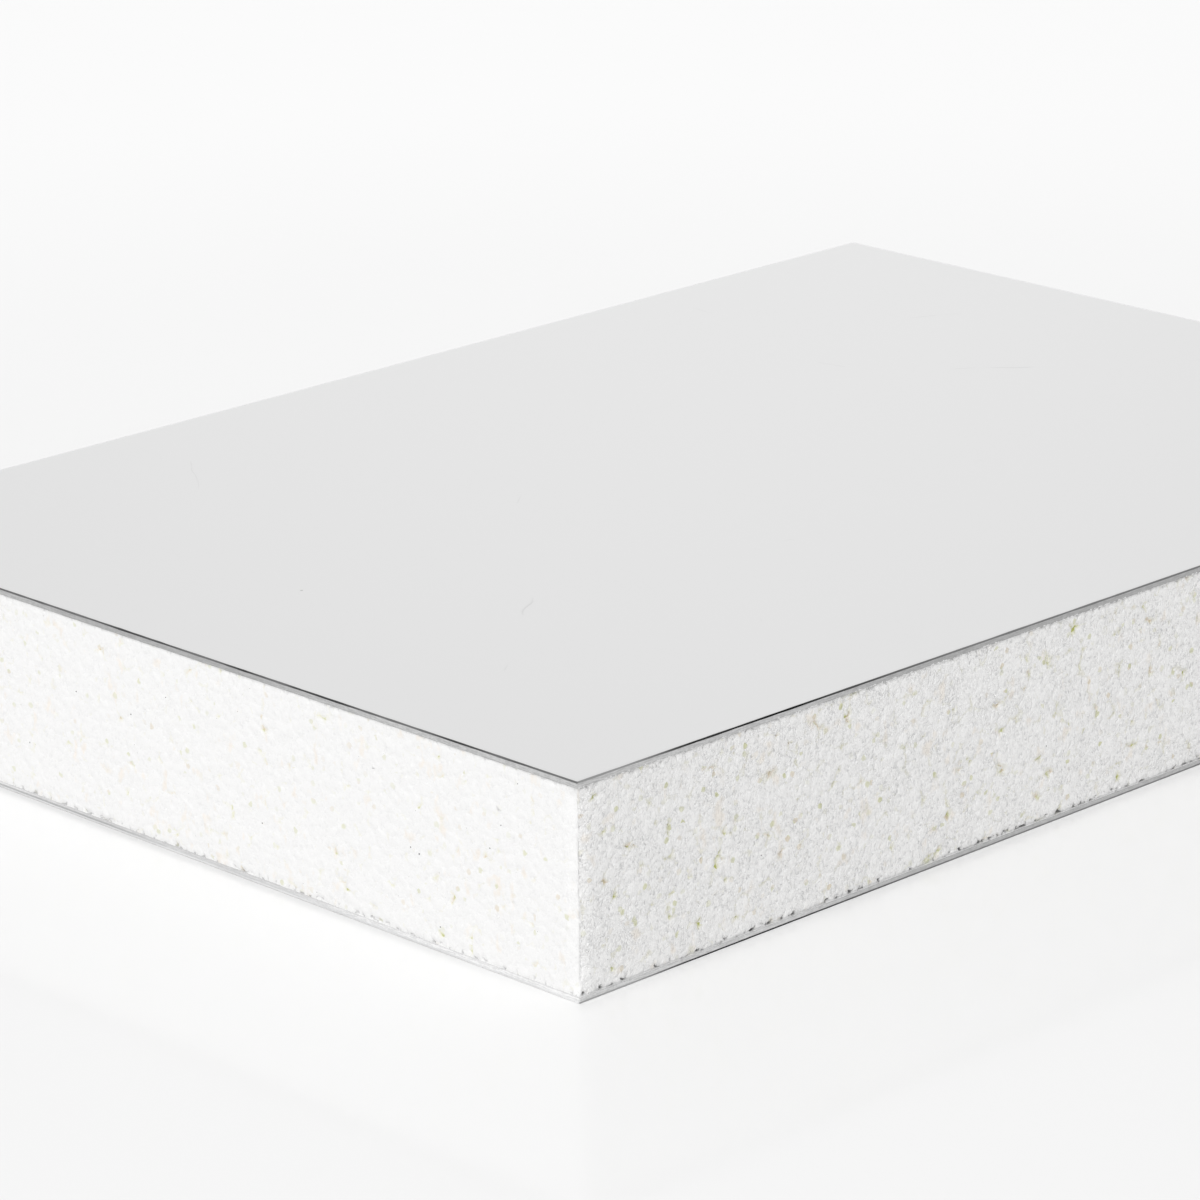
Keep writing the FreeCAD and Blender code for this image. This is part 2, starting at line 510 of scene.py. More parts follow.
# %% [markdown]
# Both trees start and end alike, so a few helpers write those nodes. Each piece starts from a
# rectangle swept along a line with its ends capped. It ends with smooth shading, apart from the
# faces that are picked as flat, then Realize Instances and its material.

# %% Write the nodes that both trees share
def xyz(graph, x=0.0, y=0.0, z=0.0):
    """A vector made of three parts."""
    return graph.wire("ShaderNodeCombineXYZ", None, {"X": x, "Y": y, "Z": z})


def rectangle(graph, size):
    """The panel's outline as a curve."""
    sides = {"Width": size["Length"], "Height": size["Width"]}
    return graph.wire("GeometryNodeCurvePrimitiveQuadrilateral", None, sides)


def swept(graph, path, profile):
    """A closed shape: the profile swept along the path."""
    curves = {"Curve": path, "Profile Curve": profile, "Fill Caps": True}
    return graph.wire("GeometryNodeCurveToMesh", None, curves)


def compared(graph, operation, value, limit):
    """True where the comparison holds."""
    sides = {"A": value, "B": limit}
    return graph.wire("FunctionNodeCompare", {"operation": operation}, sides)


def kept_as(graph, shape, name, kind, value):
    """The shape with a value stored on its points under this name."""
    inputs = {"Geometry": shape, "Name": name, "Value": value}
    settings = {"data_type": kind, "domain": "POINT"}
    return graph.wire("GeometryNodeStoreNamedAttribute", settings, inputs)


def end_tree(graph, shape, is_flat, material):
    """Shades the shape, makes it real, gives it its material and puts it out."""
    for shading in ({"Shade Smooth": True}, {"Selection": is_flat, "Shade Smooth": False}):
        shape = graph.wire("GeometryNodeSetShadeSmooth", None, {0: shape} | shading)
    shape = graph.wire("GeometryNodeRealizeInstances", None, {"Geometry": shape})
    shape = graph.wire("GeometryNodeSetMaterial", None, {"Geometry": shape, "Material": material})
    graph.node("NodeGroupOutput", None, {"Geometry": shape})


# %% [markdown]
# The core is one sawn slab with its upright corners worn round. A vertical line, swept with the
# panel's outline as its profile and closed with caps, makes a fine grid all round the cut edges and
# leaves the hidden faces plain. The flat place of each point is kept as an attribute, in
# millimetres, for the material to read.

# %% Sweep the foam slab
CORNER_CUTS = 4

slab, slab_ids, size = geometry_tree(
    "sawn_foam", ("Length", "Width", "Bottom", "Top", "Corner", "Step"))
ends = {"Start": xyz(slab, z=size["Bottom"]), "End": xyz(slab, z=size["Top"])}
upright = slab.wire("GeometryNodeCurvePrimitiveLine", None, ends)
fillet = {"Curve": rectangle(slab, size), "Count": CORNER_CUTS, "Radius": size["Corner"]}
outline = slab.wire("GeometryNodeFilletCurve", {"mode": "POLY"}, fillet)
upright, outline = (
    slab.wire("GeometryNodeResampleCurve", {"mode": "LENGTH"},
              {"Curve": curve, "Length": size["Step"]})
    for curve in (upright, outline)
)
block = swept(slab, upright, outline)

flat_place = slab.wire("GeometryNodeInputPosition")
sawn_place = flat_place * (1.0 / MM)
block = kept_as(slab, block, "sawn_place", "FLOAT_VECTOR", sawn_place)
print("slab swept with", len(slab.tree.nodes), "nodes")

# %% [markdown]
# Every point of the sawn sides then moves straight in by the depth that the rule gives there, so
# nothing stands out past the sheets: soft swells over the beads, shallow seams, hollows, gaps
# along the bonds, and uneven wear towards the upright corners, which fades out at the sheets.
# Straight in means towards the nearest point of a smaller inner block, which also holds round the
# corners. The hidden faces are shaded flat, the rest smooth.

# %% Carve the sawn sides
CORE_CORNER, GRID_STEP = 0.7, 0.2
SWELL_SIZE, SWELL_DEPTH = 1.3, 0.22
SEAM_WIDTH, SEAM_DEPTH = 0.3, 0.06
HOLLOW_RANGE, HOLLOW_DEPTH = (0.02, 0.24), 0.17
GAP_DEPTH, HIGH_GAP_SHARE = 0.6, 0.4
SHORT_SIDE_GAPS, SHORT_SIDE_DEPTH = 0.3, 0.45
WEAR_REACH, WEAR_DEPTH = 2.4, 0.8
WEAR_SIZE, WEAR_SPREAD, WEAR_LEAST = 1.6, 0.8, 0.2
WEAR_FADE = 1.5
CAP_LIMIT = 0.8
CORE_TRIANGLES = 190_000

inner = xyz(slab, size["Length"] * 0.5 - size["Corner"], size["Width"] * 0.5 - size["Corner"], 1.0)
nearest_inner = slab.maths("MINIMUM", slab.largest(flat_place, inner * -1.0), inner)
outwards = slab.wire(
    "ShaderNodeVectorMath", {"operation": "NORMALIZE"}, {0: flat_place - nearest_inner})

short_side, from_corner = side_place(slab, sawn_place)
seam, hollow = beads(slab, sawn_place, short_side, from_corner)
low_gap, high_gap = bond_gaps(slab, sawn_place, seam)
open_bond = less_on_short(short_side, SHORT_SIDE_GAPS)
open_hollow = less_on_short(short_side, SHORT_SIDE_DEPTH)
mid_height = (core_low.z + core_high.z) / 2
from_middle = slab.length((sawn_place - (0.0, 0.0, mid_height)) * (0.0, 0.0, 1.0))
worn = slab.smooth(from_corner, WEAR_REACH, 0.0)
worn = worn * (slab.noise(sawn_place, WEAR_SIZE, 2.0) * WEAR_SPREAD + WEAR_LEAST)
worn = worn * slab.smooth(core_size.z / 2 - from_middle, 0.0, WEAR_FADE)
depth = (
    slab.noise(sawn_place, SWELL_SIZE, 3.0, 0.6) * SWELL_DEPTH
    + slab.smooth(seam, SEAM_WIDTH, 0.0) * SEAM_DEPTH
    + slab.smooth(hollow, *HOLLOW_RANGE) * open_hollow * HOLLOW_DEPTH
    + (low_gap + high_gap * HIGH_GAP_SHARE) * open_bond * GAP_DEPTH
    + worn * WEAR_DEPTH
)
block = slab.wire(
    "GeometryNodeSetPosition", None, {"Geometry": block, "Offset": outwards * (depth * -MM)})
facing = slab.part(slab.wire("GeometryNodeInputNormal"), "Z")
is_cap = compared(slab, "GREATER_THAN", facing * facing, CAP_LIMIT)
end_tree(slab, block, is_cap, size["Material"])

foam = bpy.data.materials.new("bead_foam")
core = grow("foam_slab", slab, slab_ids, {
    "Length": core_size.x * MM, "Width": core_size.y * MM,
    "Bottom": core_low.z * MM, "Top": core_high.z * MM,
    "Corner": CORE_CORNER * MM, "Step": GRID_STEP * MM, "Material": foam,
}, thin_to=CORE_TRIANGLES)

# %% [markdown]
# Torn crumb is finer than the mesh. Another crowd of points, a quarter of a millimetre apart,
# gives each crumb a rounded height for the bump and its own tone. Crumb comes in clusters, and is
# stronger along the seams than in the middle of a bead. The long sides get a whiter base colour
# than the short ones: painted light, which lifts the sides that the softbox only grazes.

# %% Scatter the crumb
CRUMB_SPACING, CRUMB_SMEAR = 0.27, (1.0, 1.0, 0.75)
CRUMB_DRIFT_SIZE, CRUMB_DRIFT = 0.35, 0.4
CLUSTER_SIZE, CLUSTER_RANGE = 5.0, (0.38, 0.62)
TORN_WIDTH, TORN_SEAM, TORN_CLUSTER, TORN_LEAST = 0.4, 0.3, 0.2, 0.5
SHORT_SIDE_CRUMB = 0.3
LONG_SIDE_PAINTED_LIGHT_WHITE = (0.939, 0.934, 0.929, 1.0)
SHORT_SIDE_WHITE = (0.902, 0.900, 0.897, 1.0)
CRUMB_DARK, DARK_RANGE = 0.75, (0.16, 0.04)
CRUMB_PALE, PALE_RANGE = 0.99, (0.70, 0.97)
CRUMB_STEP, CRUMB_ROUND = 0.064, 0.50
GRAIN_SIZE, GRAIN_HEIGHT = 0.4, 0.22

foam.use_nodes = True
skin = Graph(foam.node_tree)
place = skin.wire("ShaderNodeAttribute", {"attribute_name": "sawn_place"}, output="Vector")
short_side, from_corner = side_place(skin, place)
seam, hollow = beads(skin, place, short_side, from_corner)
cluster = skin.smooth(skin.noise(place, CLUSTER_SIZE, 3.0), *CLUSTER_RANGE)
torn = skin.smooth(seam, TORN_WIDTH, 0.0) * TORN_SEAM + cluster * TORN_CLUSTER + TORN_LEAST
rough_cut = torn * less_on_short(short_side, SHORT_SIDE_CRUMB)
uneven = drifted(skin, place * CRUMB_SMEAR, CRUMB_DRIFT_SIZE, CRUMB_DRIFT, 0.0)
crumb = skin.node("ShaderNodeTexVoronoi", {"feature": "F1"},
                  {"Vector": uneven, "Scale": 1.0 / CRUMB_SPACING})
from_crumb, crumb_lot = skin.outputs(crumb, "Distance", "Color")
crumb_tone = skin.part(crumb_lot, "Y")
# The whiter long sides are painted light, for the sides that the softbox only grazes.
tint = skin.blend(short_side, LONG_SIDE_PAINTED_LIGHT_WHITE, SHORT_SIDE_WHITE)
tint = skin.blend(skin.smooth(crumb_tone, *DARK_RANGE) * rough_cut, tint, grey(CRUMB_DARK))
tint = skin.blend(skin.smooth(crumb_tone, *PALE_RANGE) * rough_cut, tint, grey(CRUMB_PALE))
relief = (
    skin.part(crumb_lot, "X") * CRUMB_STEP
    - from_crumb * CRUMB_SPACING * CRUMB_ROUND
    + skin.noise(place, GRAIN_SIZE, 2.0, 0.6) * GRAIN_HEIGHT
)
bump = skin.wire("ShaderNodeBump", None, {"Strength": rough_cut, "Distance": MM, "Height": relief})
print("crumbs", CRUMB_SPACING, "mm apart")

# %% [markdown]
# Where beads failed to meet, light is filtered on its way out, and the foam is stained round the
# hollow. The stain runs on as thin tails along the seams that meet there. A wide, slow noise warms
# some patches to peach.

# %% Stain the rims of the hollows
SHORT_SIDE_STAIN, SHORT_SIDE_TAIL = 0.72, 0.4
PATCH_SIZE, PATCH_SQUASH = 2.0, (1.0, 1.0, 0.7)
PATCH_RANGE, PATCH_SHARE = (0.60, 0.76), 0.58
PATCH_PEACH = (0.90, 0.83, 0.74, 1.0)
TAIL_WIDTH, TAIL_RANGE, TAIL_SHARE = 0.12, (-0.26, -0.04), 0.25
RIM_RANGE, RIM_SHARE = (-0.24, 0.02), 0.65
RIM_STAIN = (0.86, 0.85, 0.76, 1.0)

stain = less_on_short(short_side, SHORT_SIDE_STAIN)
warmth = skin.noise(place * PATCH_SQUASH, PATCH_SIZE, 2.0)
tint = skin.blend(skin.smooth(warmth, *PATCH_RANGE) * PATCH_SHARE, tint, PATCH_PEACH)
tail = skin.smooth(seam, TAIL_WIDTH, 0.0) * skin.smooth(hollow, *TAIL_RANGE)
tail = tail * less_on_short(short_side, SHORT_SIDE_TAIL) * TAIL_SHARE
rim = skin.largest(skin.smooth(hollow, *RIM_RANGE), tail)
tint = skin.blend(rim * RIM_SHARE * stain, tint, RIM_STAIN)
print("a bead reaches", BEAD_REACH, "mm from its middle")

# %% [markdown]
# The hollow itself looks olive, or brown where a slow noise says so, with a deep middle in the
# widest. Here and there the saw pulled out a single flake, which leaves a compact speck of the same
# colours. The flakes are the ones of the rule above, and a high lot picks the few that are gone.
# Single dark dots are grit from the saw.

# %% Colour the hollows, the lost flakes and the grit
BROWN_SIZE, BROWN_RANGE = 2.2, (0.52, 0.58)
HOLLOW_OLIVE, HOLLOW_BROWN = (0.83, 0.825, 0.65, 1.0), (0.87, 0.80, 0.71, 1.0)
DEEP_OLIVE, DEEP_BROWN = (0.50, 0.53, 0.14, 1.0), (0.66, 0.59, 0.40, 1.0)
FLAKE_OLIVE, FLAKE_BROWN = (0.66, 0.67, 0.40, 1.0), (0.76, 0.68, 0.54, 1.0)
INSIDE_RANGE, DEEP_RANGE = (0.05, 0.22), (0.20, 0.38)
LOST_RANGE, LOST_FADE = (0.96, 0.98), (0.56, 0.28)
LOST_SPREAD, LOST_LEAST = 0.75, 0.12
SHORT_SIDE_LOST = 0.65
GRIT_SIZE, GRIT_RANGE, GRIT_TONE = 0.5, (0.87, 0.90), 0.2

is_brown = skin.smooth(skin.noise(place, BROWN_SIZE, 0.0), *BROWN_RANGE)
from_flake, flake_lots = flake_crowd(skin, place)
lost = skin.smooth(skin.part(flake_lots, "Y"), *LOST_RANGE)
lost = lost * skin.smooth(from_flake * FLAKE_SPACING, *LOST_FADE)
lost = lost * (skin.part(flake_lots, "Z") * LOST_SPREAD + LOST_LEAST)
lost = lost * less_on_short(short_side, SHORT_SIDE_LOST)
inside, deep = (skin.smooth(hollow, *limits) * stain for limits in (INSIDE_RANGE, DEEP_RANGE))
for amount, olive, brown in (
    (lost, FLAKE_OLIVE, FLAKE_BROWN),
    (inside, HOLLOW_OLIVE, HOLLOW_BROWN),
    (deep, DEEP_OLIVE, DEEP_BROWN),
):
    tint = skin.blend(amount, tint, skin.blend(is_brown, olive, brown))
grit = skin.smooth(skin.noise(place, GRIT_SIZE, 0.0), *GRIT_RANGE)
tint = skin.blend(grit, tint, grey(GRIT_TONE))
print(f"{1.0 - sum(LOST_RANGE) / 2:.0%} of the flakes are lost")

# %% [markdown]
# Towards the sheets the foam is painted a little greyer, painted shade along the bonds, and on
# the long sides it ends in a ragged grey footing at the lower sheet. The gaps along the lower sheet
# are painted nearly black, painted shade where they run in behind the foam, and those along the
# upper sheet are shallower and painted grey, painted shade as well. The finished slab then rides on
# the panel's one body in place of the plain core.

# %% Paint shade along the bonds and place the slab
BOND_SHADE_LOW, BOND_SHADE_HIGH = 0.9, 0.6
BOND_SHADE_HIGH_SHARE, BOND_SHADE_SHARE, SHORT_SIDE_BOND_SHADE = 0.6, 0.4, 0.2
BOND_SHADE_GREY = 0.78
FOOTING_TOP, FOOTING_FULL, FOOTING_SHARE, FOOTING_GREY = 0.36, 0.16, 0.6, 0.6
RAGGED_SIZE, RAGGED_HEIGHT = 0.7, 0.5
HIGH_GAP_SHADE, HIGH_GAP_DEEP, HIGH_GAP_DARK, HIGH_GAP_SHADE_TONE = 0.8, (0.6, 1.0), 0.6, 0.2
LOW_GAP_SHADE_TONE = 0.08
FOAM_ROUGHNESS, FOAM_GLOSS = 0.9, 0.25

height = skin.part(place, "Z")
# Painted shade: the foam is greyed towards both sheets, less on the short sides.
bond_shade = skin.largest(
    skin.smooth(height, core_low.z + BOND_SHADE_LOW, core_low.z),
    skin.smooth(height, core_high.z - BOND_SHADE_HIGH, core_high.z) * BOND_SHADE_HIGH_SHARE,
)
bond_shade = bond_shade * BOND_SHADE_SHARE * less_on_short(short_side, SHORT_SIDE_BOND_SHADE)
tint = skin.blend(bond_shade, tint, grey(BOND_SHADE_GREY))
ragged = height + (skin.noise(place, RAGGED_SIZE, 2.0) - 0.5) * RAGGED_HEIGHT
footing = skin.smooth(ragged, core_low.z + FOOTING_TOP, core_low.z + FOOTING_FULL)
footing = footing * less_on_short(short_side, 0.0)
tint = skin.blend(footing * FOOTING_SHARE, tint, grey(FOOTING_GREY))
open_bond = less_on_short(short_side, SHORT_SIDE_GAPS)
low_gap, high_gap = bond_gaps(skin, place, seam)
# Painted shade in the gaps and ticks along both bonds, lighter on the short sides.
tint = skin.blend(high_gap * HIGH_GAP_SHADE, tint, grey(BOND_SHADE_GREY))
high_deep = skin.smooth(high_gap, *HIGH_GAP_DEEP) * open_bond
tint = skin.blend(high_deep * HIGH_GAP_DARK, tint, grey(HIGH_GAP_SHADE_TONE))
tint = skin.blend(low_gap * open_bond, tint, grey(LOW_GAP_SHADE_TONE))
foam_shader = skin.wire("ShaderNodeBsdfPrincipled", None, {
    "Base Color": tint,
    "Roughness": FOAM_ROUGHNESS,
    "Specular IOR Level": FOAM_GLOSS,
    "Normal": bump,
})
skin.node("ShaderNodeOutputMaterial", None, {"Surface": foam_shader})

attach(core, "root")
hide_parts("foam_core")
print("foam finished with", len(foam.node_tree.nodes), "nodes")

# %% [markdown]
# Each sheet is cut from 0.8 mm aluminium, and the cut rolls its outer rim over to a small radius. A
# sheet is the same outline swept up a short line, so the tree first makes rings of points. Each
# ring has its place on the rim's profile: across the hidden underside, up the cut edge, round the
# rolled rim and a little way in over the face. That place is kept as an attribute, so the finish
# can tell the four apart: below 0 is hidden, 0 to 1 is cut edge, 1 to 2 is rim and 2 to 3 is face.

# %% Sweep an aluminium sheet
RING_STEPS = {"under": 2, "cut": 4, "roll": 6, "over": 2}
RIM_CUTS = 299

rolled, rolled_ids, size = geometry_tree(
    "rolled_sheet", ("Length", "Width", "Gauge", "Arris", "Base", "Turn", "Lot"))
ring_count = sum(RING_STEPS.values())
rings = rolled.wire("GeometryNodeCurvePrimitiveLine", None, {"End": (0.0, 0.0, float(ring_count))})
rings = rolled.wire(
    "GeometryNodeResampleCurve", {"mode": "COUNT"}, {"Curve": rings, "Count": ring_count + 1})
outline = rolled.wire(
    "GeometryNodeSubdivideCurve", None, {"Curve": rectangle(rolled, size), "Cuts": RIM_CUTS})
sheet = swept(rolled, rings, outline)

corner = rolled.wire("GeometryNodeInputPosition")
ring = rolled.part(corner, "Z")
share = {}
first = 0
for stretch, steps in RING_STEPS.items():
    ends = {"Value": ring, "From Min": float(first), "From Max": float(first + steps)}
    share[stretch] = rolled.wire("ShaderNodeMapRange", {"interpolation_type": "LINEAR"}, ends)
    first += steps
profile = share["under"] + share["cut"] + share["roll"] + share["over"] - 1.0
sheet = kept_as(rolled, sheet, "rim_profile", "FLOAT", profile)
print("a sheet has", ring_count + 1, "rings of", 4 * (RIM_CUTS + 1), "points")

# %% [markdown]
# Now every ring moves to its place. A rectangle is set in evenly by scaling its length and its
# width apart. The rolled rim follows a quarter circle, by sine, and its radius and the line of the
# cut wander a little along the edge, as a saw leaves them. The sheet is then lifted to its height.
# The lower sheet is the same sheet turned over, with another lot number for its noise.

# %% Roll the rim
RIM_HIDDEN, RIM_FACE = 0.5, 1.0
WANDER_SIZE, CUT_WANDER = 1.6, 0.05
ARRIS_SIZE, ARRIS_SPREAD, ARRIS_LEAST = 5.0, 1.2, 0.4
BURR_SIZE, BURR_RANGE, BURR_DROP = 0.9, (0.45, 0.8), 0.03
HIDDEN_LIMIT = -0.01


def sine(graph, share_of_quarter):
    """The sine of a share of a quarter turn."""
    angle = share_of_quarter * (math.pi / 2)
    return graph.wire("ShaderNodeMath", {"operation": "SINE"}, {0: angle})


along = corner * (1.0 / MM) * (1.0, 1.0, 0.0) + xyz(rolled, z=size["Lot"])
arris = size["Arris"] * (rolled.noise(along, ARRIS_SIZE, 3.0) * ARRIS_SPREAD + ARRIS_LEAST)
inset = (
    (1.0 - share["under"]) * (RIM_HIDDEN * MM)
    + rolled.noise(along, WANDER_SIZE, 3.0) * (CUT_WANDER * MM)
    + arris * (1.0 - sine(rolled, 1.0 - share["roll"]))
    + share["over"] * (RIM_FACE * MM)
)
at_bond = share["under"] * (1.0 - share["cut"])
burr = rolled.smooth(rolled.noise(along, BURR_SIZE, 2.0), *BURR_RANGE) * at_bond * (BURR_DROP * MM)
shaped = xyz(
    rolled,
    rolled.part(corner, "X") * (1.0 - inset * 2.0 / size["Length"]),
    rolled.part(corner, "Y") * (1.0 - inset * 2.0 / size["Width"]),
    share["cut"] * (size["Gauge"] - arris) + arris * sine(rolled, share["roll"]) - burr,
)
sheet = rolled.wire("GeometryNodeSetPosition", None, {"Geometry": sheet, "Position": shaped})
sheet = rolled.wire("GeometryNodeTransform", None, {
    "Geometry": sheet,
    "Translation": xyz(rolled, z=size["Base"]),
    "Rotation": xyz(rolled, x=size["Turn"]),
})
kept_profile = rolled.wire(
    "GeometryNodeInputNamedAttribute", {"data_type": "FLOAT"}, {"Name": "rim_profile"})
is_hidden = compared(rolled, "LESS_THAN", kept_profile, HIDDEN_LIMIT)
end_tree(rolled, sheet, is_hidden, size["Material"])
print("rim rolled with", len(rolled.tree.nodes), "nodes")

# %% [markdown]
# The face is bare satin aluminium: a slow change of tone and gloss that handling leaves, a few
# specks, and short faint scratches. A Voronoi crowd, flattened so that it doesn't change with
# height, gives the specks by its points and the scratches by its borders, of which noise keeps
# only short stretches.

# %% Finish the bare face
FACE_TONES = (0.868, 0.890)
SMUDGE_SIZE, SMUDGE_ROUGHNESS, FACE_ROUGHNESS = 35.0, 0.03, 0.278
SPECK_SPACING, SPECK_SIZE, SPECK_EDGE = 13.0, 0.22, 0.05
SPECK_TONE, SPECK_SHARE = 0.40, 0.6
SCRATCH_SPACING, SCRATCH_WIDTH, SCRATCH_ROUGHNESS = 55.0, 0.12, 0.1
SCRATCH_DRIFT_SIZE, SCRATCH_DRIFT = 9.0, 2.0
SCRATCH_TONE, SCRATCH_SHARE = 0.62, 0.35
STRETCH_SIZE, STRETCH_RANGE = 14.0, (0.60, 0.68)


def satin_face(metal, spot):
    """Tone and roughness of the bare face."""
    smudge = metal.noise(spot, SMUDGE_SIZE, 3.0, 0.5)
    tone = metal.blend(smudge, *(grey(tone) for tone in FACE_TONES))
    flat = spot * (1.0, 1.0, 0.0)
    speck = metal.node("ShaderNodeTexVoronoi", {"feature": "F1"},
                       {"Vector": flat, "Scale": 1.0 / SPECK_SPACING})
    from_middle, speck_lot = metal.outputs(speck, "Distance", "Color")
    from_speck = from_middle * SPECK_SPACING - metal.part(speck_lot, "X") * SPECK_SIZE
    on_speck = metal.smooth(from_speck, SPECK_EDGE, -SPECK_EDGE)
    tone = metal.blend(on_speck * SPECK_SHARE, tone, grey(SPECK_TONE))
    uneven = drifted(metal, flat, SCRATCH_DRIFT_SIZE, SCRATCH_DRIFT)
    border = metal.wire("ShaderNodeTexVoronoi", {"feature": "DISTANCE_TO_EDGE"},
                        {"Vector": uneven, "Scale": 1.0 / SCRATCH_SPACING}, "Distance")
    stretch = metal.smooth(metal.noise(spot, STRETCH_SIZE), *STRETCH_RANGE)
    scratch = metal.smooth(border * SCRATCH_SPACING, SCRATCH_WIDTH, 0.0) * stretch
    rough = smudge * SMUDGE_ROUGHNESS + FACE_ROUGHNESS + scratch * SCRATCH_ROUGHNESS
    return metal.blend(scratch * SCRATCH_SHARE, tone, grey(SCRATCH_TONE)), rough


print("specks", SPECK_SPACING, "mm apart")

# %% [markdown]
# The cut edge is matt and streaked along its length, darker away from the corners, with a thin line
# at the bond and a fringe of foam crumbs stuck to it. Tones differ between the sheets and between
# long and short sides, so they come in as pairs, the long sides first.

# %% Finish the cut edge
STREAK_SIZE, STREAK_SQUASH, STREAK_HEIGHT = 0.16, (0.12, 0.12, 1.0), 0.04
NICK_SIZE, NICK_HEIGHT = 0.5, 0.03
STREAK_SHARE, NICK_SHARE, LIT_RANGE = 0.7, 0.3, (0.38, 0.62)
CUT_DARK, CUT_LIT = 0.84, 1.10
FAR_RANGE, FAR_SHARE, FAR_DARK = (30.0, 62.0), 0.42, 0.5
BOND_LINE, BOND_SHARE, BOND_DARK = (0.16, 0.02), 0.5, 0.6
DUST_EDGE, DUST_TONE, SHORT_SIDE_DUST = 0.04, 0.92, 0.1


def by_side(metal, is_short, pair, times=1.0):
    """A grey that differs between the long and the short sides."""
    return metal.blend(is_short, *(grey(min(1.0, tone * times)) for tone in pair))


def cut_edge(metal, spot, profile, is_short, from_corner, cut_tones, fringe):
    """Tone and height of the matt cut edge, with foam crumbs up to a share of its height."""
    dark, lit, far, bond = (
        by_side(metal, is_short, cut_tones, times)
        for times in (CUT_DARK, CUT_LIT, FAR_DARK, BOND_DARK)
    )
    streak = metal.noise(spot * STREAK_SQUASH, STREAK_SIZE, 3.0, 0.6)
    nick = metal.noise(spot, NICK_SIZE, 3.0, 0.6)
    is_lit = metal.smooth(streak * STREAK_SHARE + nick * NICK_SHARE, *LIT_RANGE)
    tone = metal.blend(is_lit, dark, lit)
    tone = metal.blend(metal.smooth(from_corner, *FAR_RANGE) * FAR_SHARE, tone, far)
    tone = metal.blend(metal.smooth(profile, *BOND_LINE) * BOND_SHARE, tone, bond)
    dust = metal.smooth(profile - (nick - 0.5) * fringe, DUST_EDGE, -DUST_EDGE)
    dust = dust * less_on_short(is_short, SHORT_SIDE_DUST)
    return metal.blend(dust, tone, grey(DUST_TONE)), streak * STREAK_HEIGHT + nick * NICK_HEIGHT


print("cut edge streaked every", STREAK_SIZE, "mm")

# %% [markdown]
# The rolled rim of the upper sheet is painted dark, a painted reflection of what is far outside
# the picture, which the rim would mirror. The same line serves as painted contact shade at the foot
# of the lower sheet. On the long sides the painted line is paler: fully near their ends, and partly
# again towards their middle.

# %% Paint the rim's line
LINE_PATCH_SIZE, LINE_PATCH_RANGE = 9.0, (0.35, 0.65)
PALE_LINE_TONE = 0.40
PALE_LINE_ENDS = (20.0, 8.0)
PALE_LINE_MIDDLE, MIDDLE_SHARE = (35.0, 72.0), 0.6


def painted_rim_line(metal, spot, is_short, from_corner, painted_line_tones):
    """Tone of the painted rim line: painted reflection above, painted contact shade below."""
    # A slow noise moves the painted line's tone between its two pairs.
    worn = metal.smooth(metal.noise(spot, LINE_PATCH_SIZE, 2.0), *LINE_PATCH_RANGE)
    tone = metal.blend(worn, *(by_side(metal, is_short, pair) for pair in painted_line_tones))
    # Stretches where the painted line is paler, on the long sides only.
    paled = metal.largest(
        metal.smooth(from_corner, *PALE_LINE_ENDS),
        metal.smooth(from_corner, *PALE_LINE_MIDDLE) * MIDDLE_SHARE,
    )
    return metal.blend(paled * less_on_short(is_short, 0.0), tone, grey(PALE_LINE_TONE))


print("rims rubbed to a tone of", PALE_LINE_TONE)

# %% [markdown]
# One material for each sheet puts the three finishes together by the place on the rim's profile. A
# sawn edge is rough and dusty, so it counts as only partly metal. On the upper sheet a painted dark
# line lies on the rolled rim, a painted reflection. On the lower sheet it is a line at the foot of
# the cut edge, painted contact shade where the sheet meets the white floor, and the cut edge is
# darker over the far halves of its short sides.

# %% Make the two materials
CUT_LIMITS = (1.10, 0.95)
RIM_FADE = 0.1
SAWN_METAL = (0.5, 0.3)
DIM_REACH, DIM_HEIGHT, DIM_TONE = (-2.0, 14.0), (0.25, 0.6), 0.35
CUT_RELIEF = 0.6


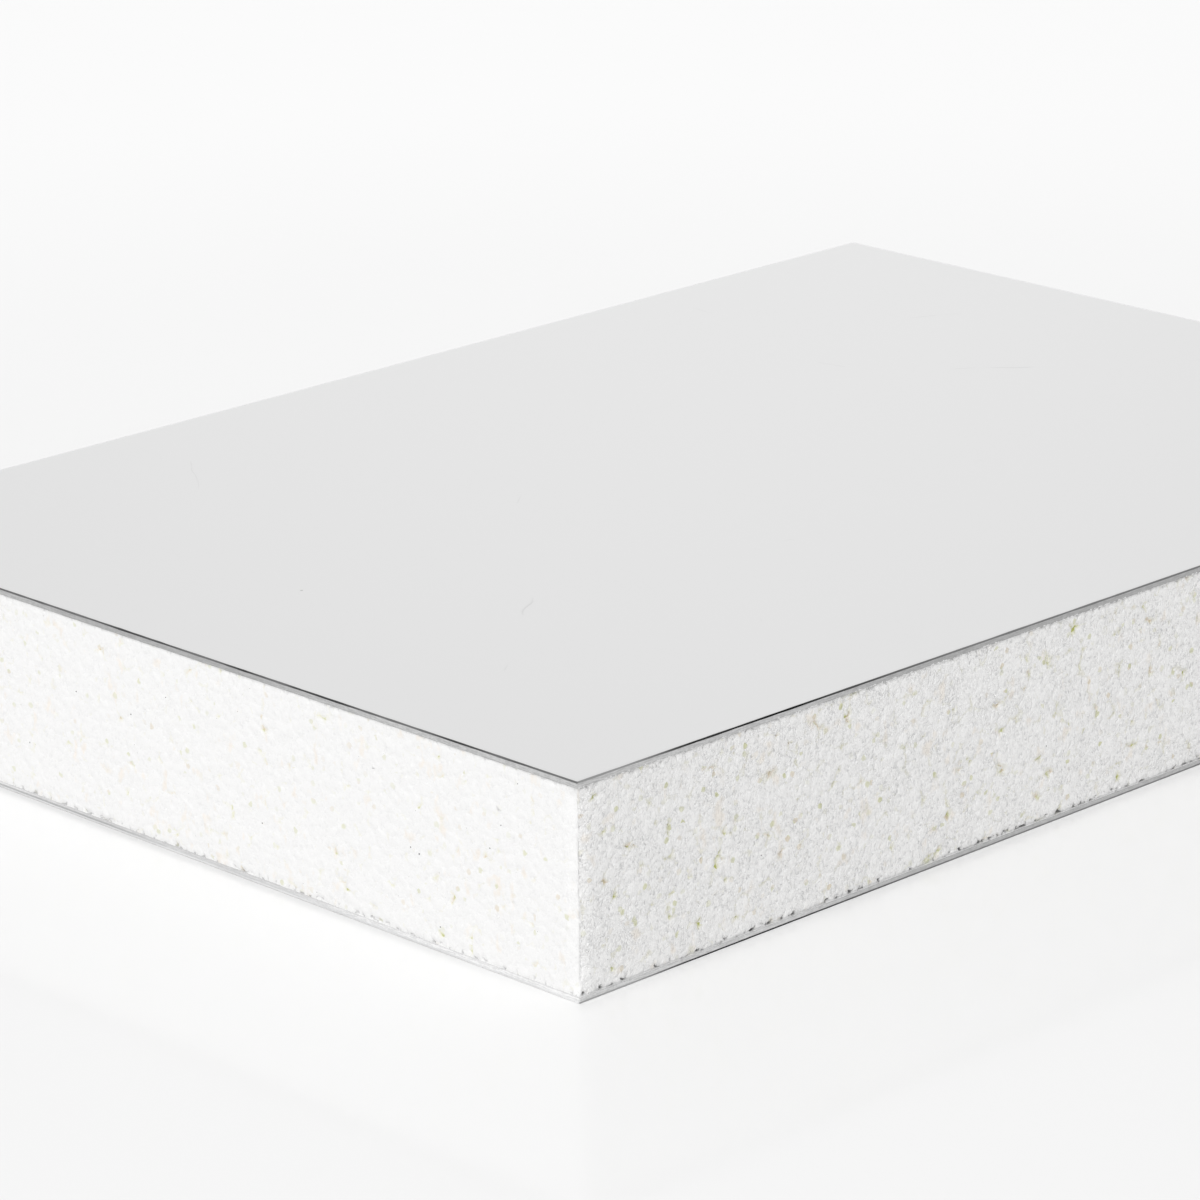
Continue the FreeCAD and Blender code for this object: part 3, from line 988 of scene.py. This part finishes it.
def make_aluminium(name, cut_tones, painted_line_tones, matt, fringe, rim_ends, dim_share):
    """Satin aluminium with its cut edge and rim. Pairs are for the long and the short sides."""
    material = bpy.data.materials.new(name)
    material.use_nodes = True
    metal = Graph(material.node_tree)
    spot = metal.wire("ShaderNodeTexCoord", output="Object") * (1.0 / MM)
    profile = metal.wire("ShaderNodeAttribute", {"attribute_name": "rim_profile"}, output="Fac")
    is_short, from_corner = side_place(metal, spot)
    on_cut = metal.smooth(profile, *CUT_LIMITS)
    starts, stops = rim_ends
    on_rim = metal.smooth(profile, starts, starts + RIM_FADE)
    on_rim = on_rim * metal.smooth(profile, stops, stops - RIM_FADE)

    tone, rough = satin_face(metal, spot)
    cut_tone, cut_height = cut_edge(metal, spot, profile, is_short, from_corner, cut_tones, fringe)
    # The short cut edges grow darker over their far halves.
    dimmed = metal.smooth(metal.part(spot, "Y"), *DIM_REACH) * metal.smooth(profile, *DIM_HEIGHT)
    cut_tone = metal.blend(dimmed * is_short * dim_share, cut_tone, grey(DIM_TONE))
    tone = metal.blend(on_cut, tone, cut_tone)
    # The rim's painted line: painted reflection on the upper sheet, painted contact shade on the
    # lower.
    tone = metal.blend(on_rim, tone, painted_rim_line(metal, spot, is_short, from_corner, painted_line_tones))
    sawn_metal, sawn_matt = (
        is_short * (pair[1] - pair[0]) + pair[0] for pair in (SAWN_METAL, matt)
    )
    relief = {"Strength": CUT_RELIEF, "Distance": MM, "Height": cut_height * on_cut}
    shader = metal.wire("ShaderNodeBsdfPrincipled", None, {
        "Base Color": tone,
        "Metallic": 1.0 - on_cut * (1.0 - sawn_metal),
        "Roughness": rough + on_cut * sawn_matt,
        "Normal": metal.wire("ShaderNodeBump", None, relief),
    })
    metal.node("ShaderNodeOutputMaterial", None, {"Surface": shader})
    print(name, "has", len(material.node_tree.nodes), "nodes")
    return material


# The upper sheet's rim is painted near black, a painted reflection.
face_aluminium = make_aluminium(
    "face_aluminium", cut_tones=(0.64, 0.59), painted_line_tones=((0.02, 0.08), (0.06, 0.24)),
    matt=(0.3, 0.3), fringe=1.4, rim_ends=(1.0, 2.0), dim_share=0.0)
# The lower sheet's painted line is near black on the long sides, painted contact shade, and near
# white on the short sides.
back_aluminium = make_aluminium(
    # On the short sides the lower sheet's cut edge is painted near white: painted light for the
    # side the softbox lights.
    "back_aluminium", cut_tones=(0.73, 1.0), painted_line_tones=((0.0, 0.86), (0.02, 0.94)),
    matt=(0.3, 0.65), fringe=0.0, rim_ends=(0.68, 1.05), dim_share=0.58)

# %% [markdown]
# The tree runs once for each sheet. The face sheet stands on the foam. The back sheet is turned
# over and hangs under it, so its rolled rim is against the floor.

# %% Place the two sheets
FACE_ARRIS, BACK_ARRIS = 0.2, 0.06
FACE_LOT, BACK_LOT = 0.0, 40.0

for name, node, material, arris, base, turn_over, lot in (
    ("face_skin", "face_sheet", face_aluminium, FACE_ARRIS, core_high.z, 0.0, FACE_LOT),
    ("back_skin", "back_sheet", back_aluminium, BACK_ARRIS, core_low.z, math.pi, BACK_LOT),
):
    low, high = (Vector(corner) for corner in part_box(node))
    piece = grow(name, rolled, rolled_ids, {
        "Length": high.x - low.x, "Width": high.y - low.y, "Gauge": high.z - low.z,
        "Arris": arris * MM, "Base": base * MM, "Turn": turn_over, "Lot": lot, "Material": material,
    })
    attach(piece, "root")
    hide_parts(node)

# %% [markdown]
# The dressed panel is built to the size of the solids it came from, and its size is printed.

# %% Write the sizes and finish
low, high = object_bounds()
print("dressed panel in mm:", [round((top - bottom) / MM, 2) for bottom, top in zip(low, high)])
